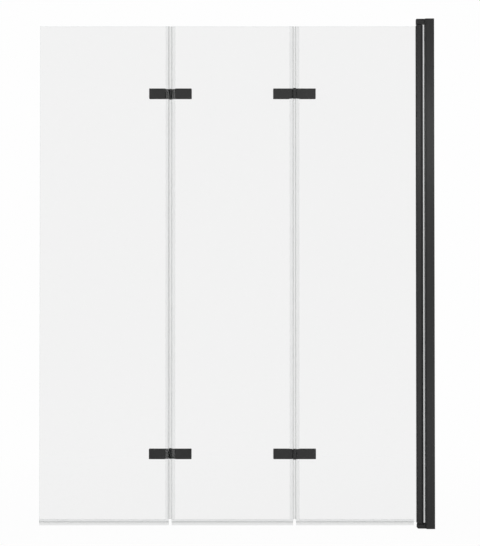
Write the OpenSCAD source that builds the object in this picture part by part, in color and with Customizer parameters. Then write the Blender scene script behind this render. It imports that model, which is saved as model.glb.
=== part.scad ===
// Folding bath screen: three glass panels that hang on a wall channel and fold
// against each other. X runs from the free edge to the wall, and the wall's face
// is at x = 0. Y runs from the front to the back, and y = 0 is the middle of the
// glass. Z runs up from the foot of the wall channel.

/* [Overall size] */
// Height of the wall channel, the tallest piece
screen_h = 1400; // [1200:5:1600]
// Wall panel, from the pivot axis to the inner fold
inner_w = 344.9; // [280:0.1:420]
// Middle panel, from the inner fold to the outer fold
middle_w = 341.1; // [280:0.1:420]
// Outer panel, from the outer fold to the free edge
outer_w = 359.2; // [280:0.1:420]

/* [Glass] */
// Thickness of the toughened glass
glass_t = 6; // [5:0.5:8]
// Lower edge of the glass above the foot of the screen
glass_foot = 18.2; // [17:0.1:30]
// Upper edge of the glass below the top of the screen
glass_drop = 20; // [18:0.5:30]
// Gap between the panes at a fold
fold_gap = 8; // [7:0.5:10]
// Ground bevel along the edges of the glass
arris = 0.6; // [0.2:0.1:1]

/* [Wall channel] */
// Distance that the channel stands out from the wall
channel_d = 22.5; // [20:0.5:30]
// Width of the channel along the wall
channel_w = 30; // [26:0.5:36]
// Wall thickness of the channel
channel_t = 2; // [1.5:0.1:3]
// Depth of the two sealant grooves in the face on the wall
groove_d = 0.6; // [0.3:0.1:1]
// Width of each sealant groove
groove_w = 4; // [2:0.5:5]
// Radius of the wall screw holes
wall_hole_r = 2.75; // [2:0.05:3.5]
// Number of wall screw holes
wall_holes_n = 4; // [2:1:6]
// Distance of the end wall screws from the channel's ends
wall_hole_inset = 100; // [60:5:200]

/* [Adjusting profile] */
// Part of the profile that shows beyond the channel
reveal = 2.8; // [2:0.1:12]
// Wall thickness of the profile
adjust_t = 1.6; // [1.2:0.1:2.4]
// Room left behind the profile for an uneven wall
adjust_play = 3; // [1:0.5:5]
// Sliding clearance between profile and channel, on each side
slide_gap = 0.3; // [0.1:0.05:0.5]
// Rounding of the aluminium profiles' outer corners
edge_r = 0.6; // [0.3:0.1:0.8]
// Radius of the screw ports' bore
port_r = 1.85; // [1.5:0.05:2.2]
// Wall round each screw port
port_t = 1.4; // [1:0.1:1.8]
// Distance of each screw port from the middle
port_y = 7; // [6:0.5:8]
// Screw ports behind the profile's front face
port_inset = 10; // [9:0.5:11]

/* [Pivot profile] */
// Gap between the adjusting profile and the pivot profile
pivot_gap = 4.5; // [2:0.1:6]
// Radius of the pivot profile's round wall side
pivot_r = 9; // [8.5:0.1:11]
// Pivot axis to the profile's glass side
pivot_reach = 9.9; // [9.5:0.1:14]
// Outer wall of the pivot profile
pivot_t = 1.5; // [1.2:0.1:2]
// Inner walls of the pivot profile
pivot_web = 1; // [0.8:0.1:1.4]
// Rounding of the corners on the glass side
pivot_corner_r = 1.6; // [0.6:0.1:2.5]
// Thickness of the glazing gasket on each face of the glass
gasket_t = 1.15; // [0.8:0.05:1.5]
// Thickness of the glazing gasket at the edge of the glass
gasket_web = 0.4; // [0.2:0.1:1]
// Size of the gasket's lip outside the pivot profile
gasket_lip = 0.9; // [0.5:0.1:1.5]

/* [End caps and pivots] */
// Height of the top cap
cap_h = 14; // [12:0.5:18]
// Height of the bottom cap's arm
foot_cap_h = 11.1; // [10.5:0.1:18]
// Bottom cap above the foot of the channel
cap_lift = 0.5; // [0.2:0.1:2]
// Plan rounding of the arm's corners
arm_corner_r = 3; // [1:0.5:5]
// Rounding under the nose of the bottom cap
bottom_nose_r = 4.2; // [0.5:0.1:5]
// Rounding over the nose of the top cap
top_nose_r = 1.2; // [0.5:0.1:5]
// Length of the spigot that enters the adjusting profile
spigot_l = 9; // [5:0.5:15]
// Gap between the top cap's arm and the pivot profile
top_gap = 2.4; // [1.5:0.1:4]
// Gap between the bottom cap's arm and the pivot profile
bottom_gap = 3.6; // [1.5:0.1:4]
// Radius of the pivot pins
pivot_pin_r = 2.5; // [1.5:0.1:2.8]
// Wall thickness of the pivot bushes
bush_t = 1.15; // [0.8:0.05:1.4]
// Depth of a pivot pin in its cap
pin_socket = 9; // [6:0.5:10]
// Depth of a pivot pin and its bush in the pivot profile
bush_l = 14; // [8:0.5:30]
// Radius of the top bush's collar
collar_r = 5.7; // [5:0.1:7]
// Distance that the bottom bush's collar stands back from the faces of the profile
collar_recess = 1.5; // [0.5:0.1:3]

/* [Seals] */
// Length of glass that an upright seal's clip covers
seal_reach = 9.5; // [6:0.5:12]
// Length of glass that a bottom seal's clip covers
bottom_reach = 7.4; // [6:0.1:12]
// Thickness of a clip's legs at its root
seal_t = 1.2; // [0.8:0.1:1.5]
// Thickness of a clip's legs at its mouth
seal_lip_t = 0.8; // [0.5:0.1:0.8]
// Thickness of a clip over the edge of the glass
seal_web = 1; // [0.6:0.1:1.4]
// Room between a clear seal and the glass in it
seal_room = 0.05; // [0.02:0.01:0.2]
// Wall thickness of the hollow bead in a fold
bead_t = 0.7; // [0.4:0.1:1]
// Height of the glass edge above the tip of the bottom seal
skirt_l = 9.6; // [6:0.1:14]
// Thickness of the bottom seal's skirt
skirt_t = 1; // [0.6:0.1:1.6]
// Distance that the drip lip stands out from the glass
drip_reach = 4; // [2:0.1:5]
// Bottom seal of the wall panel starts this far from the pivot profile
seal_start = 8; // [3:0.5:12]
// Thickness of the pivot seal's fin
fin_t = 0.8; // [0.5:0.1:1.2]
// Half width of the pivot seal's foot
fin_foot_half = 2.5; // [2:0.1:3]
// Thickness of the pivot seal's foot
fin_foot_t = 1.8; // [1.2:0.1:2.4]

/* [Hinges] */
// Centre of each hinge from the nearer edge of the glass
hinge_inset = 186; // [80:1:350]
// Length of a hinge plate from the fold
leaf_l = 58.4; // [45:0.1:80]
// Height of a hinge
leaf_h = 28; // [22:0.5:40]
// Thickness of the hinge plates
leaf_t = 4; // [3.4:0.1:5]
// Bevel round the face of a hinge plate
leaf_bevel = 0.8; // [0.3:0.1:1.2]
// Rounding of the corners of a hinge plate
leaf_corner_r = 1.5; // [0.5:0.1:4]
// Radius of the barrel
barrel_r = 5; // [4:0.1:6]
// Room between the barrel and the edge seals
barrel_room = 1.3; // [1:0.1:3]
// Radius of the hinge pins
hinge_pin_r = 2.4; // [1.5:0.1:3]
// Height of the middle knuckle
knuckle_h = 9.8; // [6:0.2:14]
// Radius of a hinge pin's head
pin_head_r = 4.2; // [3.4:0.1:4.6]
// Height of a hinge pin's head
pin_head_h = 0.8; // [0.4:0.1:2]
// First screw from the fold
screw_near = 24; // [20:0.5:28]
// Second screw from the fold
screw_far = 46; // [34:0.5:48]

/* [Screws] */
// Radius of the hinge screws
screw_r = 2.5; // [1.5:0.1:2.6]
// Radius of a hinge screw's countersunk head
head_r = 4.6; // [3.5:0.1:5]
// Depth of a hinge screw's thread in its plate
tap_depth = 2.8; // [2:0.1:3]
// Radius of the holes in the glass
glass_hole_r = 5; // [4:0.1:7]
// Radius of the cap screws and side screws
small_screw_r = 1.8; // [1.4:0.05:2]
// Radius of the small screws' heads
small_head_r = 3.6; // [2.8:0.1:4]
// Height of the side screws' flat heads
flat_head_h = 2; // [1.6:0.1:2.6]
// Radius of the hexagon sockets in the hinge screws
hinge_hex_r = 1.75; // [1.2:0.05:2]
// Radius of the hexagon sockets in the small screws
small_hex_r = 1.2; // [0.8:0.1:1.5]
// Depth of the hexagon sockets in the small screws
small_hex_h = 1.3; // [0.8:0.1:1.6]
// Length of the cap screws
cap_screw_l = 28; // [22:1:40]
// Number of side screws through the channel
side_screws_n = 3; // [2:1:6]
// Distance of the end side screws from the channel's ends
side_screw_inset = 250; // [150:10:400]
// Length of a side screw beyond the profile's wall
side_screw_tip = 2; // [1:0.5:4]
// Thickness of the screw covers
cover_t = 1; // [0.8:0.1:1.5]
// Bevel round a screw cover
cover_bevel = 0.7; // [0.3:0.1:0.8]

/* [Clearances] */
// Gap between pieces that are fitted loosely
fit_gap = 0.3; // [0.2:0.05:0.5]
// Radial clearance of a pin that turns in its bore
run_gap = 0.05; // [0.02:0.01:0.1]
// Radial clearance of a pin or plug that stays still
press_gap = 0.02; // [0.01:0.01:0.05]

/* [Hidden] */

$fn = 64;
past = 1;                       // cutters run this far past a face
black = "#26272a";
clear_glass = [0.80, 0.90, 0.87, 0.35];
clear_seal = [0.86, 0.88, 0.88, 0.7];
grey_pad = "#55585c";
steel = "#b8bcc0";

// Places along X
adjust_front = -(channel_d + reveal);
adjust_rear = -(channel_t + adjust_play);
pivot_x = adjust_front - pivot_gap - pivot_r;
inner_x = pivot_x - inner_w;
outer_x = inner_x - middle_w;
free_x = outer_x - outer_w;
port_x = adjust_front + port_inset;
side_screw_x = port_x + port_r + port_t + small_screw_r + 2 * fit_gap;

// Places along Z
glass_top = screen_h - glass_drop;
cap_top = cap_lift + foot_cap_h;
pivot_foot = cap_top + bottom_gap;
pivot_top = screen_h - cap_h - top_gap;
seal_foot = glass_foot + bottom_reach;
hinge_low = glass_foot + hinge_inset;
hinge_high = glass_top - hinge_inset;

// Half widths and radii in plan
adjust_half = channel_w / 2 - channel_t - slide_gap;
pocket_half = glass_t / 2 + gasket_t + run_gap;
chamber_r = pivot_pin_r + run_gap + bush_t + press_gap;
pocket_floor = chamber_r + pivot_web;
glass_edge = pocket_floor + gasket_web;

// Hinge plates, measured from the middle of the glass
pad_t = seal_t + fit_gap;
plate_in = glass_t / 2 + pad_t;
plate_out = plate_in + leaf_t;
barrel_off = glass_t / 2 + seal_room + seal_t + barrel_room + barrel_r;
leaf_gap = barrel_r + fit_gap;
clip_end = fold_gap / 2 + seal_reach;
clamp_start = clip_end - fit_gap;
pad_start = clip_end + fit_gap;
head_h = head_r - screw_r;
screw_places = [screw_near, screw_far];
hinge_places = [hinge_low, hinge_high];

// A flat rectangle between two corners, with rounded corners
module rounded_rect(low, high, r) {
    translate([low[0] + r, low[1]])
        square([high[0] - low[0] - 2 * r, high[1] - low[1]]);
    translate([low[0], low[1] + r])
        square([high[0] - low[0], high[1] - low[1] - 2 * r]);
    for (x = [low[0] + r, high[0] - r])
        for (y = [low[1] + r, high[1] - r])
            translate([x, y]) circle(r);
}

// A flat rectangle between two corners, with bevelled corners
module bevelled_rect(low, high, c) {
    polygon([
        [low[0] + c, low[1]], [high[0] - c, low[1]], [high[0], low[1] + c],
        [high[0], high[1] - c], [high[0] - c, high[1]], [low[0] + c, high[1]],
        [low[0], high[1] - c], [low[0], low[1] + c]
    ]);
}

// Draws a flat shape of (y, z) points along X, between two places
module along_x(from, to) {
    translate([from, 0, 0]) rotate([90, 0, 90]) linear_extrude(to - from) children();
}

// Stands a piece drawn along +Z on the Y axis
module facing_back() {
    rotate([-90, 0, 0]) children();
}

// ---- Wall channel and adjusting profile

module channel_section() {
    inside_w = channel_w - 2 * channel_t;
    difference() {
        rounded_rect([-channel_d, -channel_w / 2], [0, channel_w / 2], edge_r);
        translate([-channel_d - past, -inside_w / 2])
            square([channel_d + past - channel_t, inside_w]);
        for (side = [-1, 1])
            translate([-groove_d, side * channel_w / 4 - groove_w / 2])
                square([groove_d + past, groove_w]);
    }
}

// Places of n screws, evenly spaced between insets from the two ends
function along_channel(n, inset) = [
    for (i = [0 : n - 1]) inset + i * (screen_h - 2 * inset) / (n - 1)
];

module wall_channel() {
    color(black) difference() {
        linear_extrude(screen_h) channel_section();
        for (z = along_channel(wall_holes_n, wall_hole_inset))
            translate([-channel_t - past, 0, z]) rotate([0, 90, 0])
                cylinder(r = wall_hole_r, h = channel_t + 2 * past);
        for (z = along_channel(side_screws_n, side_screw_inset))
            translate([side_screw_x, channel_w / 2 - channel_t - past, z]) facing_back()
                cylinder(r = small_screw_r + fit_gap, h = channel_t + 2 * past);
    }
}

module adjusting_section() {
    inside_half = adjust_half - adjust_t;
    box_half = fin_foot_half + run_gap + adjust_t / 2;
    box_end = adjust_front + adjust_t + fin_foot_t + fit_gap;
    difference() {
        union() {
            difference() {
                rounded_rect([adjust_front, -adjust_half], [adjust_rear, adjust_half], edge_r);
                translate([adjust_front + adjust_t, -inside_half])
                    square([adjust_rear - adjust_front, 2 * inside_half]);
            }
            translate([port_x - adjust_t / 2, -adjust_half + adjust_t / 2])
                square([adjust_t, 2 * adjust_half - adjust_t]);
            for (side = [-1, 1])
                translate([port_x, side * port_y]) circle(port_r + port_t);
            translate([adjust_front + adjust_t / 2, -box_half])
                square([box_end - adjust_front, 2 * box_half]);
        }
        for (side = [-1, 1])
            translate([port_x, side * port_y]) circle(port_r);
        translate([adjust_front - past, -fin_t / 2 - run_gap])
            square([adjust_t + 2 * past, fin_t + 2 * run_gap]);
        translate([adjust_front + adjust_t, -fin_foot_half - run_gap])
            square([box_end - adjust_front - adjust_t, 2 * (fin_foot_half + run_gap)]);
    }
}

module adjusting_profile() {
    color(black) difference() {
        translate([0, 0, cap_top]) linear_extrude(screen_h - cap_h - cap_top) adjusting_section();
        for (z = along_channel(side_screws_n, side_screw_inset))
            translate([side_screw_x, adjust_half - adjust_t - past, z]) facing_back()
                cylinder(r = small_screw_r + run_gap, h = adjust_t + 2 * past);
    }
}

module side_screws() {
    length = channel_t + slide_gap + adjust_t + side_screw_tip;
    color(steel) for (z = along_channel(side_screws_n, side_screw_inset))
        translate([side_screw_x, channel_w / 2, z]) facing_back() difference() {
            union() {
                cylinder(r = small_head_r, h = flat_head_h);
                translate([0, 0, -length]) cylinder(r = small_screw_r, h = length + flat_head_h / 2);
            }
            translate([0, 0, flat_head_h - small_hex_h])
                cylinder(r = small_hex_r, h = small_hex_h + past, $fn = 6);
        }
}

module screw_covers() {
    room_r = small_head_r + fit_gap;
    room_h = flat_head_h + fit_gap;
    outer_r = room_r + cover_t;
    top = room_h + cover_t;
    color(black) for (z = along_channel(side_screws_n, side_screw_inset))
        translate([side_screw_x, channel_w / 2, z]) facing_back()
            rotate_extrude() polygon([
                [room_r, 0], [outer_r, 0], [outer_r, top - cover_bevel],
                [outer_r - cover_bevel, top], [0, top], [0, room_h], [room_r, room_h]
            ]);
}

module pivot_seal() {
    tip_x = pivot_x + pivot_r + fit_gap;
    color(clear_seal) translate([0, 0, pivot_foot]) linear_extrude(pivot_top - pivot_foot) {
        translate([adjust_front + adjust_t + run_gap, -fin_foot_half])
            square([fin_foot_t, 2 * fin_foot_half]);
        translate([tip_x + fin_t / 2, -fin_t / 2])
            square([adjust_front + adjust_t + fin_foot_t / 2 - tip_x, fin_t]);
        translate([tip_x + fin_t / 2, 0]) circle(fin_t / 2);
    }
}

// ---- End caps and pivots

module cap_outline() {
    rounded_rect([adjust_front, -adjust_half], [adjust_rear - fit_gap, adjust_half], edge_r);
    rounded_rect([pivot_x - pivot_reach, -pivot_r],
                 [adjust_front + arm_corner_r + edge_r, pivot_r], arm_corner_r);
}

// An end cap of height h, drawn as the lower one: its outer face is at z = 0
module end_cap(h, nose_r) {
    spigot_x = port_x + port_r + port_t + fit_gap;
    spigot_half = adjust_half - adjust_t - fit_gap;
    cone_h = small_head_r - small_screw_r;
    full_h = h + spigot_l + nose_r + past;
    difference() {
        intersection() {
            union() {
                linear_extrude(h) cap_outline();
                translate([spigot_x, -spigot_half, 0])
                    cube([adjust_rear - 2 * fit_gap - spigot_x, 2 * spigot_half, h + spigot_l]);
            }
            translate([0, channel_w, 0]) rotate([90, 0, 0]) linear_extrude(2 * channel_w)
                rounded_rect([pivot_x - pivot_reach, 0], [0, full_h], nose_r);
        }
        translate([pivot_x, 0, h - pin_socket])
            cylinder(r = pivot_pin_r + press_gap, h = pin_socket + past);
        for (side = [-1, 1]) translate([port_x, side * port_y, 0]) {
            translate([0, 0, -past]) cylinder(r = small_screw_r + fit_gap, h = h + 2 * past);
            cylinder(r1 = small_head_r + fit_gap, r2 = small_screw_r + fit_gap, h = cone_h);
            translate([0, 0, -past]) cylinder(r = small_head_r + fit_gap, h = past + run_gap);
        }
    }
}

module at_top() {
    translate([0, 0, screen_h]) mirror([0, 0, 1]) children();
}

module at_foot() {
    translate([0, 0, cap_lift]) children();
}

module top_cap() {
    color(black) at_top() end_cap(cap_h, top_nose_r);
}

// The bottom cap has a stop behind the collar, clear of the swing of the pivot profile
module bottom_cap() {
    stop_x = pivot_x + pivot_reach + fit_gap;
    color(black) at_foot() union() {
        end_cap(foot_cap_h, bottom_nose_r);
        translate([stop_x, -pivot_r, foot_cap_h - past])
            cube([adjust_front - run_gap - stop_x, 2 * pivot_r, bottom_gap - fit_gap + past]);
    }
}

module pivot_pin(h, gap) {
    color(steel) translate([pivot_x, 0, h - pin_socket])
        cylinder(r = pivot_pin_r, h = pin_socket + gap + bush_l - fit_gap);
}

module top_pivot_pin() {
    at_top() pivot_pin(cap_h, top_gap);
}

module bottom_pivot_pin() {
    at_foot() pivot_pin(foot_cap_h, bottom_gap);
}

module cap_screw_pair() {
    cone_h = small_head_r - small_screw_r;
    for (side = [-1, 1]) translate([port_x, side * port_y, run_gap]) difference() {
        union() {
            cylinder(r1 = small_head_r, r2 = small_screw_r, h = cone_h);
            translate([0, 0, cone_h / 2]) cylinder(r = small_screw_r, h = cap_screw_l - cone_h / 2);
        }
        translate([0, 0, -past]) cylinder(r = small_hex_r, h = past + small_hex_h, $fn = 6);
    }
}

module cap_screws() {
    color(steel) {
        at_top() cap_screw_pair();
        at_foot() cap_screw_pair();
    }
}

// Plan outline of the pivot profile round its axis, drawn in by an inset
module pivot_outline(inset) {
    r = pivot_corner_r * (1 - inset / pivot_reach);
    circle(pivot_r - inset);
    rounded_rect([inset - pivot_reach, inset - pivot_r], [r, pivot_r - inset], r);
}

module pivot_section() {
    pocket_wall = pocket_half + pivot_web;
    difference() {
        pivot_outline(0);
        circle(chamber_r);
        translate([-pivot_reach - past, -pocket_half])
            square([pivot_reach + past - pocket_floor, 2 * pocket_half]);
        difference() {
            pivot_outline(pivot_t);
            circle(pocket_floor);
            translate([-pivot_reach, -pocket_wall]) square([pivot_reach, 2 * pocket_wall]);
            translate([0, -pivot_web / 2]) square([pivot_r, pivot_web]);
        }
    }
}

module pivot_profile() {
    color(black) translate([pivot_x, 0, pivot_foot])
        linear_extrude(pivot_top - pivot_foot) pivot_section();
}

module bush_bore(gap) {
    translate([0, 0, -bush_l - past])
        cylinder(r = pivot_pin_r + run_gap, h = bush_l + gap + 2 * past);
}

module bush_plug() {
    translate([0, 0, -bush_l])
        cylinder(r = pivot_pin_r + run_gap + bush_t, h = bush_l + run_gap);
}

module top_pivot_bush() {
    color(grey_pad) translate([pivot_x, 0, pivot_top]) difference() {
        union() {
            bush_plug();
            cylinder(r = collar_r, h = top_gap - fit_gap);
        }
        bush_bore(top_gap);
    }
}

module bottom_pivot_bush() {
    color(grey_pad) translate([pivot_x, 0, pivot_foot]) mirror([0, 0, 1]) difference() {
        union() {
            bush_plug();
            linear_extrude(bottom_gap - fit_gap) intersection() {
                circle(pivot_reach - fit_gap);
                square([2 * pivot_reach, 2 * (pivot_r - collar_recess)], center = true);
            }
        }
        bush_bore(bottom_gap);
    }
}

module glazing_gasket() {
    inner = glass_t / 2;
    outer = inner + gasket_t;
    lip = gasket_lip;
    color(grey_pad) translate([pivot_x, 0, glass_foot]) linear_extrude(glass_top - glass_foot)
        difference() {
            union() {
                translate([-pivot_reach, -outer])
                    square([pivot_reach - pocket_floor - run_gap, 2 * outer]);
                polygon([
                    [-pivot_reach, -outer - lip], [-pivot_reach, outer + lip],
                    [-pivot_reach - lip, outer], [-pivot_reach - lip, -outer]
                ]);
            }
            translate([-pivot_reach - lip - past, -inner])
                square([pivot_reach + lip + past - glass_edge, 2 * inner]);
        }
}

// ---- Glass

// A pane between two places along X, drilled at the given places for its hinges
module pane(from, to, drilled) {
    half = glass_t / 2;
    color(clear_glass) difference() {
        intersection() {
            translate([0, 0, glass_foot]) linear_extrude(glass_top - glass_foot)
                bevelled_rect([from, -half], [to, half], arris);
            along_x(from, to) bevelled_rect([-half, glass_foot], [half, glass_top], arris);
        }
        for (x = drilled)
            for (z = hinge_places)
                translate([x, -half - past, z]) facing_back()
                    cylinder(r = glass_hole_r, h = glass_t + 2 * past);
    }
}

module wall_glass() {
    pane(inner_x + fold_gap / 2, pivot_x - glass_edge, [for (u = screw_places) inner_x + u]);
}

module middle_glass() {
    pane(outer_x + fold_gap / 2, inner_x - fold_gap / 2,
         concat([for (u = screw_places) inner_x - u], [for (u = screw_places) outer_x + u]));
}

module outer_glass() {
    pane(free_x, outer_x - fold_gap / 2, [for (u = screw_places) outer_x - u]);
}

// ---- Seals

// Clip over an edge of glass at the origin, with the glass on its +X side
module clip_section() {
    half = glass_t / 2 + seal_room;
    root = -seal_room;
    polygon([
        [-seal_web, -half - seal_t], [seal_reach, -half - seal_lip_t], [seal_reach, -half],
        [root, -half], [root, half], [seal_reach, half], [seal_reach, half + seal_lip_t],
        [-seal_web, half + seal_t]
    ]);
}

// Vertical seal at a fold: side is 1 for the panel nearer the wall, -1 for the other
module edge_seal(fold_x, side, beaded) {
    web_x = fold_gap / 2 - seal_web;
    bead_r = web_x - fit_gap / 2;
    color(clear_seal) translate([fold_x, 0, seal_foot]) mirror([(1 - side) / 2, 0, 0])
        linear_extrude(glass_top - seal_foot) {
            translate([fold_gap / 2, 0]) clip_section();
            if (beaded) {
                translate([fit_gap / 2, 0]) difference() {
                    circle(bead_r);
                    circle(bead_r - bead_t);
                }
                translate([web_x - bead_t, -bead_t]) square([bead_t + run_gap, 2 * bead_t]);
            }
        }
}

module wall_edge_seal() {
    edge_seal(inner_x, 1, true);
}

module middle_inner_edge_seal() {
    edge_seal(inner_x, -1, false);
}

module middle_outer_edge_seal() {
    edge_seal(outer_x, 1, false);
}

module outer_edge_seal() {
    edge_seal(outer_x, -1, true);
}

// Seal under a pane: a clip, a skirt that hangs down and a lip that sheds water to the back
module bottom_seal(from, to) {
    half = glass_t / 2 + seal_room;
    root_z = glass_foot - seal_room;
    clip_z = seal_foot - fit_gap;
    web_z = glass_foot - seal_web;
    tip_z = glass_foot - skirt_l;
    lip_z = web_z - drip_reach;
    color(clear_seal) along_x(from, to) {
        polygon([
            [-half - seal_t, web_z], [half - seal_t, web_z],
            [half + drip_reach - seal_t / 2, lip_z], [half + drip_reach, lip_z],
            [half + seal_t, web_z], [half + seal_lip_t, clip_z], [half, clip_z],
            [half, root_z], [-half, root_z], [-half, clip_z], [-half - seal_lip_t, clip_z]
        ]);
        translate([-skirt_t / 2, tip_z + skirt_t / 2]) square([skirt_t, web_z - tip_z]);
        translate([0, tip_z + skirt_t / 2]) circle(skirt_t / 2);
    }
}

module wall_bottom_seal() {
    bottom_seal(inner_x + fold_gap / 2, pivot_x - pivot_reach - seal_start);
}

module middle_bottom_seal() {
    bottom_seal(outer_x + fold_gap / 2, inner_x - fold_gap / 2);
}

module outer_bottom_seal() {
    bottom_seal(free_x, outer_x - fold_gap / 2);
}

// ---- Hinges
// Each is drawn round its fold: the panel lies along +X, and its face along +Y

module at_hinge(fold_x, z, side, face) {
    translate([fold_x, 0, z]) mirror([(1 - side) / 2, 0, 0]) mirror([0, (1 - face) / 2, 0]) children();
}

// Plate on a face of the glass, with its outer edges bevelled and corners rounded
module hinge_plate(from, to) {
    half = leaf_h / 2;
    intersection() {
        translate([0, 0, -half]) linear_extrude(leaf_h) polygon([
            [from, plate_in], [to, plate_in], [to, plate_out - leaf_bevel],
            [to - leaf_bevel, plate_out], [from + leaf_bevel, plate_out],
            [from, plate_out - leaf_bevel]
        ]);
        along_x(from, to) polygon([
            [plate_in, -half], [plate_out - leaf_bevel, -half], [plate_out, leaf_bevel - half],
            [plate_out, half - leaf_bevel], [plate_out - leaf_bevel, half], [plate_in, half]
        ]);
        translate([0, plate_out + past, 0]) rotate([90, 0, 0]) linear_extrude(leaf_t + 2 * past)
            rounded_rect([from, -half], [to, half], leaf_corner_r);
    }
}

// Holes for a plate's screws: countersunk from outside, or tapped from the glass side
module plate_holes(countersunk) {
    for (u = screw_places) translate([u, 0, 0]) facing_back() {
        if (countersunk) {
            translate([0, 0, plate_in - past]) cylinder(r = screw_r + fit_gap, h = leaf_t + 2 * past);
            translate([0, 0, plate_out - head_h])
                cylinder(r1 = screw_r + run_gap, r2 = head_r + run_gap, h = head_h);
            translate([0, 0, plate_out - run_gap]) cylinder(r = head_r + run_gap, h = past);
        } else {
            translate([0, 0, plate_in - past]) cylinder(r = screw_r + run_gap, h = tap_depth + past);
        }
    }
}

// A knuckle of the barrel between two heights, and its bridge to the plate
module knuckle(from, to) {
    translate([0, 0, from]) linear_extrude(to - from) {
        translate([0, barrel_off]) circle(barrel_r);
        translate([0, barrel_off - barrel_r])
            square([leaf_gap + leaf_bevel, plate_out - barrel_off + barrel_r]);
    }
}

// The leaf nearer the wall has the two end knuckles, the other leaf the middle one,
// and each has a lip behind the barrel that closes the view between them
module hinge_leaf(ends, countersunk) {
    mid = knuckle_h / 2;
    lip_h = leaf_h - 2 * leaf_corner_r;
    lip_t = barrel_off - barrel_r - fit_gap - plate_in;
    color(black) difference() {
        union() {
            hinge_plate(leaf_gap, leaf_l);
            translate([fit_gap / 2, plate_in, -lip_h / 2])
                cube([leaf_gap + leaf_bevel, lip_t, lip_h]);
            if (ends) {
                knuckle(-leaf_h / 2, -mid - fit_gap);
                knuckle(mid + fit_gap, leaf_h / 2);
            } else {
                knuckle(-mid, mid);
            }
        }
        plate_holes(countersunk);
        translate([0, barrel_off, -leaf_h / 2 - past])
            cylinder(r = hinge_pin_r + run_gap, h = leaf_h + 2 * past);
    }
}

module hinge_clamp(countersunk) {
    color(black) difference() {
        hinge_plate(clamp_start, leaf_l);
        plate_holes(countersunk);
    }
}

// Pin with a low bevelled head at each end
module hinge_pin() {
    half = leaf_h / 2;
    color(black) translate([0, barrel_off, 0]) rotate_extrude() polygon([
        [0, -half - pin_head_h], [pin_head_r - pin_head_h, -half - pin_head_h],
        [pin_head_r, -half], [hinge_pin_r, -half],
        [hinge_pin_r, half], [pin_head_r, half],
        [pin_head_r - pin_head_h, half + pin_head_h], [0, half + pin_head_h]
    ]);
}

// Inner fold: barrel and leaves in front, clamps and screw heads at the back
module inner_top_hinge_wall_leaf() {
    at_hinge(inner_x, hinge_high, 1, -1) hinge_leaf(true, false);
}

module inner_top_hinge_middle_leaf() {
    at_hinge(inner_x, hinge_high, -1, -1) hinge_leaf(false, false);
}

module inner_top_hinge_pin() {
    at_hinge(inner_x, hinge_high, 1, -1) hinge_pin();
}

module inner_top_hinge_wall_clamp() {
    at_hinge(inner_x, hinge_high, 1, 1) hinge_clamp(true);
}

module inner_top_hinge_middle_clamp() {
    at_hinge(inner_x, hinge_high, -1, 1) hinge_clamp(true);
}

module inner_bottom_hinge_wall_leaf() {
    at_hinge(inner_x, hinge_low, 1, -1) hinge_leaf(true, false);
}

module inner_bottom_hinge_middle_leaf() {
    at_hinge(inner_x, hinge_low, -1, -1) hinge_leaf(false, false);
}

module inner_bottom_hinge_pin() {
    at_hinge(inner_x, hinge_low, 1, -1) hinge_pin();
}

module inner_bottom_hinge_wall_clamp() {
    at_hinge(inner_x, hinge_low, 1, 1) hinge_clamp(true);
}

module inner_bottom_hinge_middle_clamp() {
    at_hinge(inner_x, hinge_low, -1, 1) hinge_clamp(true);
}

// Outer fold: clamps in front, barrel, leaves and screw heads at the back
module outer_top_hinge_middle_leaf() {
    at_hinge(outer_x, hinge_high, 1, 1) hinge_leaf(true, true);
}

module outer_top_hinge_outer_leaf() {
    at_hinge(outer_x, hinge_high, -1, 1) hinge_leaf(false, true);
}

module outer_top_hinge_pin() {
    at_hinge(outer_x, hinge_high, 1, 1) hinge_pin();
}

module outer_top_hinge_middle_clamp() {
    at_hinge(outer_x, hinge_high, 1, -1) hinge_clamp(false);
}

module outer_top_hinge_outer_clamp() {
    at_hinge(outer_x, hinge_high, -1, -1) hinge_clamp(false);
}

module outer_bottom_hinge_middle_leaf() {
    at_hinge(outer_x, hinge_low, 1, 1) hinge_leaf(true, true);
}

module outer_bottom_hinge_outer_leaf() {
    at_hinge(outer_x, hinge_low, -1, 1) hinge_leaf(false, true);
}

module outer_bottom_hinge_pin() {
    at_hinge(outer_x, hinge_low, 1, 1) hinge_pin();
}

module outer_bottom_hinge_middle_clamp() {
    at_hinge(outer_x, hinge_low, 1, -1) hinge_clamp(false);
}

module outer_bottom_hinge_outer_clamp() {
    at_hinge(outer_x, hinge_low, -1, -1) hinge_clamp(false);
}

// ---- Pads, sleeves and screws of one side of a fold

module pads(fold_x, side) {
    half = leaf_h / 2 - leaf_bevel;
    color(grey_pad) for (z = hinge_places)
        for (face = [-1, 1])
            at_hinge(fold_x, z, side, face) difference() {
                translate([pad_start, glass_t / 2, -half])
                    cube([leaf_l - leaf_bevel - pad_start, pad_t, 2 * half]);
                for (u = screw_places) translate([u, 0, 0]) facing_back()
                    cylinder(r = screw_r + fit_gap, h = plate_out);
            }
}

module inner_fold_wall_pads() {
    pads(inner_x, 1);
}

module inner_fold_middle_pads() {
    pads(inner_x, -1);
}

module outer_fold_middle_pads() {
    pads(outer_x, 1);
}

module outer_fold_outer_pads() {
    pads(outer_x, -1);
}

module sleeves(fold_x, side) {
    half = glass_t / 2;
    color(clear_seal) for (z = hinge_places)
        for (u = screw_places)
            translate([fold_x + side * u, -half, z]) facing_back() difference() {
                cylinder(r = glass_hole_r - run_gap, h = glass_t);
                translate([0, 0, -past]) cylinder(r = screw_r + fit_gap, h = glass_t + 2 * past);
            }
}

module inner_fold_wall_sleeves() {
    sleeves(inner_x, 1);
}

module inner_fold_middle_sleeves() {
    sleeves(inner_x, -1);
}

module outer_fold_middle_sleeves() {
    sleeves(outer_x, 1);
}

module outer_fold_outer_sleeves() {
    sleeves(outer_x, -1);
}

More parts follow.
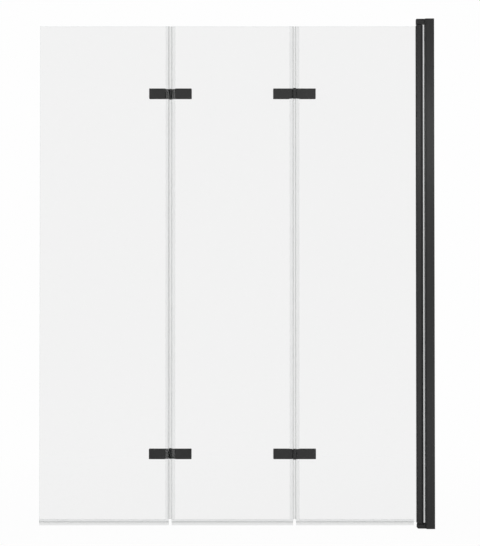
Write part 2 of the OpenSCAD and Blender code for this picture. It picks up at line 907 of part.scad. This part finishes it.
// Countersunk socket screws from the back plate into the front plate
module screws(fold_x, side) {
    top = plate_out - run_gap;
    length = top + plate_in + tap_depth - fit_gap;
    color(black) for (z = hinge_places)
        for (u = screw_places)
            translate([fold_x + side * u, top, z]) facing_back() difference() {
                union() {
                    translate([0, 0, -head_h]) cylinder(r1 = screw_r, r2 = head_r, h = head_h);
                    translate([0, 0, -length]) cylinder(r = screw_r, h = length - head_h / 2);
                }
                translate([0, 0, -head_h]) cylinder(r = hinge_hex_r, h = head_h + past, $fn = 6);
            }
}

module inner_fold_wall_screws() {
    screws(inner_x, 1);
}

module inner_fold_middle_screws() {
    screws(inner_x, -1);
}

module outer_fold_middle_screws() {
    screws(outer_x, 1);
}

module outer_fold_outer_screws() {
    screws(outer_x, -1);
}

wall_channel();
adjusting_profile();
top_cap();
bottom_cap();
top_pivot_pin();
bottom_pivot_pin();
cap_screws();
side_screws();
screw_covers();
pivot_seal();
pivot_profile();
top_pivot_bush();
bottom_pivot_bush();
glazing_gasket();
wall_glass();
wall_bottom_seal();
wall_edge_seal();
middle_glass();
middle_bottom_seal();
middle_inner_edge_seal();
middle_outer_edge_seal();
outer_glass();
outer_bottom_seal();
outer_edge_seal();
inner_top_hinge_wall_leaf();
inner_top_hinge_middle_leaf();
inner_top_hinge_pin();
inner_top_hinge_wall_clamp();
inner_top_hinge_middle_clamp();
inner_bottom_hinge_wall_leaf();
inner_bottom_hinge_middle_leaf();
inner_bottom_hinge_pin();
inner_bottom_hinge_wall_clamp();
inner_bottom_hinge_middle_clamp();
outer_top_hinge_middle_leaf();
outer_top_hinge_outer_leaf();
outer_top_hinge_pin();
outer_top_hinge_middle_clamp();
outer_top_hinge_outer_clamp();
outer_bottom_hinge_middle_leaf();
outer_bottom_hinge_outer_leaf();
outer_bottom_hinge_pin();
outer_bottom_hinge_middle_clamp();
outer_bottom_hinge_outer_clamp();
inner_fold_wall_pads();
inner_fold_middle_pads();
outer_fold_middle_pads();
outer_fold_outer_pads();
inner_fold_wall_sleeves();
inner_fold_middle_sleeves();
outer_fold_middle_sleeves();
outer_fold_outer_sleeves();
inner_fold_wall_screws();
inner_fold_middle_screws();
outer_fold_middle_screws();
outer_fold_outer_screws();
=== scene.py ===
import math

import bpy
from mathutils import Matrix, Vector


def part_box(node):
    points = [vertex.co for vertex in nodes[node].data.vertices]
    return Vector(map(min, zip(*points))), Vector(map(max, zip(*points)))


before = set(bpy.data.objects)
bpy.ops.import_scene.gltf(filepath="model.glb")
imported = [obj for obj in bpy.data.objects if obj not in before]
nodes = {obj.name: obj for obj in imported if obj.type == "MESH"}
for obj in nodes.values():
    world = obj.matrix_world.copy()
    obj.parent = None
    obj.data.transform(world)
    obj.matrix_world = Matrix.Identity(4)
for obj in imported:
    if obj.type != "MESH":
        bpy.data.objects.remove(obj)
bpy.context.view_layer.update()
print("bath screen: frame loaded,", len(nodes), "nodes")


# small helpers for building node trees

def addNode(tree, kind, **values):
    made = tree.nodes.new(kind)
    for name, value in values.items():
        setattr(made, name, value)
    return made


def plug(tree, value, socket):
    if isinstance(value, bpy.types.NodeSocket):
        tree.links.new(value, socket)
    else:
        socket.default_value = value


def calc(tree, operation, first, second=0.0):
    made = addNode(tree, "ShaderNodeMath", operation=operation)
    plug(tree, first, made.inputs[0])
    plug(tree, second, made.inputs[1])
    return made.outputs[0]


def opaque(colour):
    return (*colour, 1)


def blendColours(tree, share, first, second):
    # a Mix node's colours are its inputs 6 and 7, and its blended colour is output 2
    made = addNode(tree, "ShaderNodeMix", data_type="RGBA")
    plug(tree, share, made.inputs[0])
    plug(tree, first, made.inputs[6])
    plug(tree, second, made.inputs[7])
    return made.outputs[2]


def between(tree, value, low, high):
    made = addNode(tree, "ShaderNodeMapRange")
    plug(tree, value, made.inputs["Value"])
    made.inputs["To Min"].default_value = low
    made.inputs["To Max"].default_value = high
    return made.outputs["Result"]


def noise(tree, place, scale, detail, rough):
    made = addNode(tree, "ShaderNodeTexNoise")
    plug(tree, place, made.inputs["Vector"])
    plug(tree, scale, made.inputs["Scale"])
    made.inputs["Detail"].default_value = detail
    made.inputs["Roughness"].default_value = rough
    return made.outputs["Fac"]


def newGroup(name, inputs, outputs):
    group = bpy.data.node_groups.new(name, "ShaderNodeTree")
    for label, kind, value in inputs:
        socket = group.interface.new_socket(name=label, in_out="INPUT", socket_type=kind)
        socket.default_value = value
    for label in outputs:
        group.interface.new_socket(name=label, in_out="OUTPUT", socket_type="NodeSocketFloat")
    return group, addNode(group, "NodeGroupInput"), addNode(group, "NodeGroupOutput")


def useGroup(tree, group, **values):
    made = addNode(tree, "ShaderNodeGroup", node_tree=group)
    for name, value in values.items():
        made.inputs[name].default_value = value
    return made


def bump(tree, height, distance, normal=None):
    made = addNode(tree, "ShaderNodeBump")
    made.inputs["Distance"].default_value = distance
    tree.links.new(height, made.inputs["Height"])
    if normal is not None:
        tree.links.new(normal, made.inputs["Normal"])
    return made.outputs["Normal"]


# shared effects: each pair is a noise's detail and its roughness

grainNoise = {"speckle": (3.0, 0.6), "tone": (4.0, 0.55)}
lineNoise = {"lines": (2.0, 0.7)}
smudgeNoise = {"marks": (6.0, 0.62), "threshold": 0.48, "contrast": 5.0}


def makeGrain():
    # fine speckle of a sprayed or moulded surface, and a slow drift of its tone
    inputs = [("Grains", "NodeSocketFloat", 2400.0), ("Drift", "NodeSocketFloat", 5.0)]
    group, start, end = newGroup("surfaceGrain", inputs, ["Speckle", "Tone"])
    place = addNode(group, "ShaderNodeTexCoord").outputs["Object"]
    fine = noise(group, place, start.outputs["Grains"], *grainNoise["speckle"])
    slow = noise(group, place, start.outputs["Drift"], *grainNoise["tone"])
    group.links.new(fine, end.inputs["Speckle"])
    group.links.new(slow, end.inputs["Tone"])
    return group


def makeDrawnLines():
    # lines that a die leaves along an extrusion: Stretch is small along its length
    inputs = [("Stretch", "NodeSocketVector", (1, 1, 0.01)), ("Lines", "NodeSocketFloat", 900.0)]
    group, start, end = newGroup("drawnLines", inputs, ["Lines"])
    place = addNode(group, "ShaderNodeTexCoord").outputs["Object"]
    squeezed = addNode(group, "ShaderNodeVectorMath", operation="MULTIPLY")
    group.links.new(place, squeezed.inputs[0])
    group.links.new(start.outputs["Stretch"], squeezed.inputs[1])
    lines = noise(group, squeezed.outputs[0], start.outputs["Lines"], *lineNoise["lines"])
    group.links.new(lines, end.inputs["Lines"])
    return group


def makeSmudges():
    # faint marks left by hands and water, as a mask from 0 to Amount
    inputs = [("Size", "NodeSocketFloat", 9.0), ("Amount", "NodeSocketFloat", 0.5)]
    group, start, end = newGroup("smudges", inputs, ["Mask"])
    place = addNode(group, "ShaderNodeTexCoord").outputs["Object"]
    broad = noise(group, place, start.outputs["Size"], *smudgeNoise["marks"])
    lifted = calc(group, "SUBTRACT", broad, smudgeNoise["threshold"])
    spread = calc(group, "MULTIPLY", lifted, smudgeNoise["contrast"])
    held = addNode(group, "ShaderNodeClamp")
    group.links.new(spread, held.inputs["Value"])
    group.links.new(calc(group, "MULTIPLY", held.outputs[0], start.outputs["Amount"]), end.inputs["Mask"])
    return group


surfaceGrain = makeGrain()
drawnLines = makeDrawnLines()
smudges = makeSmudges()
print("bath screen: shared effects ready")


# finishes

def newFinish(name):
    made = bpy.data.materials.new(name)
    made.use_nodes = True
    tree = made.node_tree
    return made, tree, tree.nodes["Principled BSDF"]


def blackFinish(name, look):
    # black coat, nylon, plastic or rubber: speckled tone, uneven gloss, fine bump, die lines if any
    made, tree, shader = newFinish(name)
    grain = useGroup(tree, surfaceGrain, Grains=look["grains"], Drift=look["drift"])
    marks = useGroup(tree, smudges, Size=look["markSize"], Amount=look["marks"])
    colour = blendColours(tree, grain.outputs["Tone"], opaque(look["dark"]), opaque(look["light"]))
    flecks = calc(tree, "MULTIPLY", grain.outputs["Speckle"], look["fleck"])
    speckled = blendColours(tree, flecks, colour, opaque(look["flecks"]))
    tree.links.new(speckled, shader.inputs["Base Color"])
    dull = between(tree, grain.outputs["Speckle"], *look["roughness"])
    rubbed = calc(tree, "MULTIPLY", marks.outputs["Mask"], look["markGloss"])
    tree.links.new(calc(tree, "SUBTRACT", dull, rubbed), shader.inputs["Roughness"])
    shader.inputs["Specular IOR Level"].default_value = look["specular"]
    normal = bump(tree, grain.outputs["Speckle"], look["depth"])
    if "stretch" in look:
        lines = useGroup(tree, drawnLines, Stretch=look["stretch"], Lines=look["lines"])
        normal = bump(tree, lines.outputs["Lines"], look["lineDepth"], normal)
    tree.links.new(normal, shader.inputs["Normal"])
    return made


def steelFinish(name, look):
    # bare turned steel, with the rings that the lathe leaves
    made, tree, shader = newFinish(name)
    lines = useGroup(tree, drawnLines, Stretch=look["stretch"], Lines=look["lines"])
    grain = useGroup(tree, surfaceGrain, Drift=look["drift"])
    colour = blendColours(tree, grain.outputs["Tone"], opaque(look["dark"]), opaque(look["light"]))
    tree.links.new(colour, shader.inputs["Base Color"])
    tree.links.new(between(tree, lines.outputs["Lines"], *look["roughness"]), shader.inputs["Roughness"])
    tree.links.new(bump(tree, lines.outputs["Lines"], look["depth"]), shader.inputs["Normal"])
    shader.inputs["Metallic"].default_value = 1.0
    return made


def letLightThrough(tree, shader, tint):
    # rays from the lamps pass straight on, so that what lies behind isn't left in a hard shadow
    path = addNode(tree, "ShaderNodeLightPath")
    passed = addNode(tree, "ShaderNodeBsdfTransparent")
    passed.inputs["Color"].default_value = opaque(tint)
    either = addNode(tree, "ShaderNodeMixShader")
    tree.links.new(path.outputs["Is Shadow Ray"], either.inputs[0])
    tree.links.new(shader.outputs["BSDF"], either.inputs[1])
    tree.links.new(passed.outputs["BSDF"], either.inputs[2])
    tree.links.new(either.outputs[0], tree.nodes["Material Output"].inputs["Surface"])


def glassFinish(name, look):
    # clear faces, with ground edges and holes that are greener and duller
    made, tree, shader = newFinish(name)
    place = addNode(tree, "ShaderNodeTexCoord").outputs["Object"]
    parts = addNode(tree, "ShaderNodeSeparateXYZ")
    tree.links.new(place, parts.inputs[0])
    face = calc(tree, "GREATER_THAN", calc(tree, "ABSOLUTE", parts.outputs["Y"]), look["faceAt"])
    grain = useGroup(tree, surfaceGrain, Grains=look["grains"])
    ground = between(tree, grain.outputs["Speckle"], *look["edgeRoughness"])
    polish = addNode(tree, "ShaderNodeMix", data_type="FLOAT")  # its values are inputs 2 and 3
    tree.links.new(face, polish.inputs[0])
    tree.links.new(ground, polish.inputs[2])
    polish.inputs[3].default_value = look["faceRoughness"]
    tree.links.new(polish.outputs[0], shader.inputs["Roughness"])
    colour = blendColours(tree, face, opaque(look["edge"]), opaque(look["face"]))
    tree.links.new(colour, shader.inputs["Base Color"])
    shader.inputs["Transmission Weight"].default_value = 1.0
    shader.inputs["IOR"].default_value = look["ior"]
    shader.inputs["Specular IOR Level"].default_value = look["specular"]
    letLightThrough(tree, shader, look["shadow"])
    return made


def clearPlasticFinish(name, look):
    # flexible clear extrusion: die lines along it, and painted shade: darker tints in fixed zones, where
    # one looks along a wall of it
    made, tree, shader = newFinish(name)
    lines = useGroup(tree, drawnLines, Stretch=look["stretch"], Lines=look["lines"])
    grain = useGroup(tree, surfaceGrain, Drift=look["drift"])
    colour = blendColours(tree, grain.outputs["Tone"], opaque(look["dark"]), opaque(look["light"]))
    place = addNode(tree, "ShaderNodeTexCoord").outputs["Object"]
    parts = addNode(tree, "ShaderNodeSeparateXYZ")
    tree.links.new(place, parts.inputs[0])
    # painted shade: each zone takes a darker tint that stands in for the darker look of the seal's walls
    # seen edge-on
    for axis, low, high, tint in look["paintedShade"]:
        above = calc(tree, "GREATER_THAN", parts.outputs[axis], low)
        below = calc(tree, "LESS_THAN", parts.outputs[axis], high)
        colour = blendColours(tree, calc(tree, "MULTIPLY", above, below), colour, opaque(tint))
    tree.links.new(colour, shader.inputs["Base Color"])
    tree.links.new(between(tree, lines.outputs["Lines"], *look["roughness"]), shader.inputs["Roughness"])
    tree.links.new(bump(tree, lines.outputs["Lines"], look["depth"]), shader.inputs["Normal"])
    shader.inputs["Transmission Weight"].default_value = 1.0
    shader.inputs["IOR"].default_value = look["ior"]
    shader.inputs["Specular IOR Level"].default_value = look["specular"]
    letLightThrough(tree, shader, look["shadow"])
    return made


# looks: the tone drifts from dark to light, and fleck is how much of the flecks' colour shows
# grains, drift, markSize and lines are noise scales, so more is finer, and depths are in metres

profileCoat = {
    "dark": (0.0184, 0.0185, 0.0186), "light": (0.0220, 0.0221, 0.0222),
    "flecks": (0.045, 0.045, 0.0451), "fleck": 0.08, "roughness": (0.36, 0.46), "specular": 0.07,
    "grains": 2600.0, "drift": 5.0, "depth": 0.000012,
    "markSize": 7.0, "marks": 0.5, "markGloss": 0.06,
    "stretch": (1.0, 1.0, 0.004), "lines": 700.0, "lineDepth": 0.000006,
}
hingeCoat = {
    "dark": (0.0250, 0.0251, 0.0252), "light": (0.0300, 0.0301, 0.0302),
    "flecks": (0.05, 0.05, 0.0501), "fleck": 0.1, "roughness": (0.36, 0.46), "specular": 0.09,
    "grains": 3200.0, "drift": 30.0, "depth": 0.000008,
    "markSize": 40.0, "marks": 0.6, "markGloss": 0.07,
}
capPlastic = {
    "dark": (0.0190, 0.0191, 0.0192), "light": (0.0225, 0.0226, 0.0227),
    "flecks": (0.04, 0.04, 0.0401), "fleck": 0.1, "roughness": (0.42, 0.54), "specular": 0.06,
    "grains": 4200.0, "drift": 40.0, "depth": 0.000015,
    "markSize": 60.0, "marks": 0.4, "markGloss": 0.05,
}
bushNylon = {
    "dark": (0.005, 0.005, 0.0051), "light": (0.008, 0.008, 0.0081),
    "flecks": (0.012, 0.012, 0.012), "fleck": 0.2, "roughness": (0.55, 0.68), "specular": 0.12,
    "grains": 1800.0, "drift": 60.0, "depth": 0.00001,
    "markSize": 80.0, "marks": 0.2, "markGloss": 0.05,
}
screwCoat = {
    "dark": (0.016, 0.016, 0.0166), "light": (0.024, 0.024, 0.0248),
    "flecks": (0.06, 0.06, 0.06), "fleck": 0.1, "roughness": (0.28, 0.4), "specular": 0.5,
    "grains": 5200.0, "drift": 90.0, "depth": 0.000006,
    "markSize": 120.0, "marks": 0.5, "markGloss": 0.08,
}
rubberLook = {
    "dark": (0.022, 0.022, 0.023), "light": (0.032, 0.032, 0.033),
    "flecks": (0.06, 0.06, 0.06), "fleck": 0.25, "roughness": (0.7, 0.86), "specular": 0.25,
    "grains": 3000.0, "drift": 25.0, "depth": 0.00003,
    "markSize": 30.0, "marks": 0.3, "markGloss": 0.1,
}
turnedSteel = {
    "dark": (0.34, 0.345, 0.35), "light": (0.42, 0.425, 0.43), "roughness": (0.26, 0.42),
    "stretch": (0.05, 0.05, 1.0), "lines": 4000.0, "drift": 60.0, "depth": 0.000006,
}
paneGlass = {
    "face": (0.894, 0.894, 0.894), "faceRoughness": 0.0, "faceAt": 0.00299,
    "edge": (0.88, 0.93, 0.915), "edgeRoughness": (0.22, 0.38), "grains": 2200.0,
    "ior": 1.4, "specular": 0.08, "shadow": (0.9, 0.92, 0.91),
}

# edges of the panes that the clear seals clip on, at each fold and at the foot
innerFold = [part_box("middle_glass")[1][0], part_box("wall_glass")[0][0]]
outerFold = [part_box("outer_glass")[1][0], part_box("middle_glass")[0][0]]
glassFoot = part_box("wall_glass")[0][2]

# painted shade in the seals, darker tints where their walls are seen edge-on: how far from the pane's edge
# each zone starts and ends, and its tint
# the bead fills the fold between two panes, and the skirt is all that hangs below the foot's zone
webShadeLook = {
    "bead": (0.915, 0.918, 0.917), "skirt": (0.80, 0.803, 0.802),
    "foot": (-0.0003, 0.0011, (0.70, 0.703, 0.702)),
    "innerFold": [(-0.0009, 0.0014, (0.745, 0.748, 0.747)), (-0.0012, 0.0009, (0.80, 0.803, 0.802))],
    "outerFold": [(-0.0024, -0.0004, (0.76, 0.763, 0.762)), (-0.0024, 0.0011, (0.79, 0.793, 0.792))],
}


def foldWebShade():
    shadedZones = []
    for edges, zones in ((innerFold, webShadeLook["innerFold"]), (outerFold, webShadeLook["outerFold"])):
        shadedZones.append(("X", edges[0], edges[1], webShadeLook["bead"]))
        for edge, (start, end, tint) in zip(edges, zones):
            shadedZones.append(("X", edge + start, edge + end, tint))
    return shadedZones


def footWebShade():
    start, end, tint = webShadeLook["foot"]
    skirt = ("Z", 0.0, glassFoot + start, webShadeLook["skirt"])
    return [skirt, ("Z", glassFoot + start, glassFoot + end, tint)]


uprightSeal = {
    "dark": (0.93, 0.933, 0.933), "light": (0.962, 0.965, 0.965), "roughness": (0.04, 0.16),
    "stretch": (1.0, 1.0, 0.0005), "lines": 1200.0, "drift": 12.0, "depth": 0.000003,
    "ior": 1.25, "specular": 0.08, "shadow": (0.9, 0.91, 0.91), "paintedShade": foldWebShade(),
}
bottomSeal = {
    "dark": (0.905, 0.91, 0.91), "light": (0.942, 0.946, 0.946), "roughness": (0.04, 0.16),
    "stretch": (0.0005, 1.0, 1.0), "lines": 1200.0, "drift": 12.0, "depth": 0.000003,
    "ior": 1.45, "specular": 0.08, "shadow": (0.88, 0.9, 0.9), "paintedShade": footWebShade(),
}
pivotSeal = {
    "dark": (0.65, 0.655, 0.655), "light": (0.71, 0.715, 0.715), "roughness": (0.1, 0.3),
    "stretch": (1.0, 1.0, 0.0005), "lines": 1200.0, "drift": 12.0, "depth": 0.000003,
    "ior": 1.45, "specular": 0.08, "shadow": (0.7, 0.71, 0.71), "paintedShade": [],
}

finishes = {
    "profile": blackFinish("blackPowderCoat", profileCoat),
    "hinge": blackFinish("blackHingeCoat", hingeCoat),
    "cap": blackFinish("blackMouldedPlastic", capPlastic),
    "bush": blackFinish("blackNylon", bushNylon),
    "blackScrew": blackFinish("blackenedSteel", screwCoat),
    "rubber": blackFinish("darkRubber", rubberLook),
    "steel": steelFinish("turnedSteel", turnedSteel),
    "glass": glassFinish("clearGlass", paneGlass),
    "uprightSeal": clearPlasticFinish("clearUprightSeal", uprightSeal),
    "bottomSeal": clearPlasticFinish("clearBottomSeal", bottomSeal),
    "pivotSeal": clearPlasticFinish("clearPivotSeal", pivotSeal),
}


def finishFor(name):
    if name.endswith("_glass"):
        return "glass"
    if name.endswith("_bottom_seal"):
        return "bottomSeal"
    if name == "pivot_seal":
        return "pivotSeal"
    if name.endswith(("_seal", "_sleeves")):
        return "uprightSeal"
    if name.endswith("_pads") or name == "glazing_gasket":
        return "rubber"
    if name.endswith("_bush"):
        return "bush"
    if name in ("cap_screws", "side_screws", "top_pivot_pin", "bottom_pivot_pin"):
        return "steel"
    if name.endswith(("_screws", "_hinge_pin")):
        return "blackScrew"
    if name.endswith(("_cap", "_covers")):
        return "cap"
    if "_hinge_" in name:
        return "hinge"
    return "profile"


def paintNodes():
    for name, piece in nodes.items():
        piece.data.materials.clear()
        piece.data.materials.append(finishes[finishFor(name)])


paintNodes()
print("bath screen: finishes on all pieces")


# floor, which shows the screen's shadow close by and turns as pale as the room further out

floorLook = {
    "radius": 16.0, "corners": 96, "below": 0.0005,
    "dark": (0.9118, 0.9118, 0.91374), "light": (0.94, 0.94, 0.942), "roughness": 0.9, "specular": 0.1,
    "grains": 400.0, "drift": 0.7,
    "middle": (-0.5, 0, 0), "near": 0.7, "far": 2.2, "paleNear": 0.975, "paleFar": 1.0,
}
roomLight = {"colour": (1, 1, 1), "fill": 0.62, "shown": 0.991}  # fill lights the pieces, shown is seen


def seenRays(tree):
    # rays that show the room itself: straight to the eye, by reflection, or through glass
    path = addNode(tree, "ShaderNodeLightPath")
    indirect = calc(tree, "MAXIMUM", path.outputs["Is Glossy Ray"], path.outputs["Is Transmission Ray"])
    return calc(tree, "MAXIMUM", path.outputs["Is Camera Ray"], indirect)


def makeFloor():
    bpy.ops.object.select_all(action="DESELECT")
    bpy.ops.mesh.primitive_circle_add(vertices=floorLook["corners"], radius=floorLook["radius"],
                                      fill_type="NGON", location=(0, 0, -floorLook["below"]))
    floor = bpy.context.object
    floor.name = "floor"
    made, tree, shader = newFinish("paleFloor")
    grain = useGroup(tree, surfaceGrain, Grains=floorLook["grains"], Drift=floorLook["drift"])
    tones = opaque(floorLook["dark"]), opaque(floorLook["light"])
    tree.links.new(blendColours(tree, grain.outputs["Tone"], *tones), shader.inputs["Base Color"])
    shader.inputs["Roughness"].default_value = floorLook["roughness"]
    shader.inputs["Specular IOR Level"].default_value = floorLook["specular"]
    place = addNode(tree, "ShaderNodeTexCoord").outputs["Object"]
    away = addNode(tree, "ShaderNodeVectorMath", operation="DISTANCE")
    tree.links.new(place, away.inputs[0])
    away.inputs[1].default_value = floorLook["middle"]
    paling = addNode(tree, "ShaderNodeMapRange")
    tree.links.new(away.outputs["Value"], paling.inputs["Value"])
    paling.inputs["From Min"].default_value = floorLook["near"]
    paling.inputs["From Max"].default_value = floorLook["far"]
    paling.inputs["To Min"].default_value = floorLook["paleNear"]
    paling.inputs["To Max"].default_value = floorLook["paleFar"]
    white = addNode(tree, "ShaderNodeEmission")
    white.inputs["Strength"].default_value = roomLight["shown"]
    either = addNode(tree, "ShaderNodeMixShader")
    pale = calc(tree, "MULTIPLY", seenRays(tree), paling.outputs["Result"])
    tree.links.new(pale, either.inputs[0])
    tree.links.new(shader.outputs["BSDF"], either.inputs[1])
    tree.links.new(white.outputs[0], either.inputs[2])
    tree.links.new(either.outputs[0], tree.nodes["Material Output"].inputs["Surface"])
    floor.data.materials.append(made)


makeFloor()


# light: an even pale room, two large soft lamps, and two small ones for the sheen on the black pieces

lampLooks = {
    "softKey": {
        "place": (-1.9, -2.7, 2.5), "aim": (-0.5, 0, 0.5), "size": (2.2, 2.2),
        "power": 25.0, "lights": "all",
    },
    "softFill": {
        "place": (0.8, -3.0, 0.55), "aim": (-0.3, 0, 0.3), "size": (1.0, 1.0),
        "power": 20.0, "lights": "all",
    },
    "sheen": {
        "place": (0.07, -0.6, 1.135), "aim": (-0.03, 0, 1.135), "size": (0.08, 0.3),
        "power": 1.8, "lights": "opaque",
    },
    "lowSheen": {
        "place": (0.07, -0.8, 0.2), "aim": (-0.03, 0, 0.1), "size": (0.08, 0.36),
        "power": 1.1, "lights": "opaque",
    },
}


def makeRoom():
    world = bpy.data.worlds.new("paleRoom")
    bpy.context.scene.world = world
    world.use_nodes = True
    tree = world.node_tree
    lighting = tree.nodes["Background"]
    lighting.inputs["Color"].default_value = opaque(roomLight["colour"])
    lighting.inputs["Strength"].default_value = roomLight["fill"]
    shown = addNode(tree, "ShaderNodeBackground")
    shown.inputs["Color"].default_value = opaque(roomLight["colour"])
    shown.inputs["Strength"].default_value = roomLight["shown"]
    either = addNode(tree, "ShaderNodeMixShader")
    tree.links.new(seenRays(tree), either.inputs[0])
    tree.links.new(lighting.outputs[0], either.inputs[1])
    tree.links.new(shown.outputs[0], either.inputs[2])
    tree.links.new(either.outputs[0], tree.nodes["World Output"].inputs["Surface"])


def gatherLit():
    # no lamp lights the clear pieces, which would mirror it as a hard white patch
    # the two small lamps leave out the floor as well
    lit = {"all": bpy.data.collections.new("litWithFloor"), "opaque": bpy.data.collections.new("litPieces")}
    for piece in nodes.values():
        if "clear" not in piece.active_material.name:
            lit["all"].objects.link(piece)
            lit["opaque"].objects.link(piece)
    lit["all"].objects.link(bpy.data.objects["floor"])
    return lit


def makeLamps(lit):
    for name, look in lampLooks.items():
        lamp = bpy.data.lights.new(name, "AREA")
        lamp.shape = "ELLIPSE"
        lamp.size, lamp.size_y = look["size"]
        lamp.energy = look["power"]
        holder = bpy.data.objects.new(name, lamp)
        bpy.context.scene.collection.objects.link(holder)
        holder.location = look["place"]
        towards = Vector(look["aim"]) - Vector(look["place"])
        holder.rotation_euler = towards.to_track_quat("-Z", "Y").to_euler()
        holder.visible_camera = False
        holder.visible_transmission = False
        holder.light_linking.receiver_collection = lit[look["lights"]]


makeRoom()
makeLamps(gatherLit())
print("bath screen: floor, room and lamps ready")


# camera, which stands in front of the screen and looks up by its pitch in degrees

cameraLook = {
    "place": (-0.53345, -4.6, 0.621), "pitch": 0.99, "lens": 110.325, "sensor": 36.0, "reach": 100.0,
}


def makeCamera():
    eye = bpy.data.cameras.new("camera")
    eye.lens = cameraLook["lens"]
    eye.sensor_width = cameraLook["sensor"]
    eye.clip_end = cameraLook["reach"]
    holder = bpy.data.objects.new("camera", eye)
    bpy.context.scene.collection.objects.link(holder)
    holder.location = cameraLook["place"]
    holder.rotation_euler = (math.radians(90 + cameraLook["pitch"]), 0, 0)
    bpy.context.scene.camera = holder


makeCamera()
bpy.context.scene.view_settings.view_transform = "Standard"

print("bath screen: camera set")
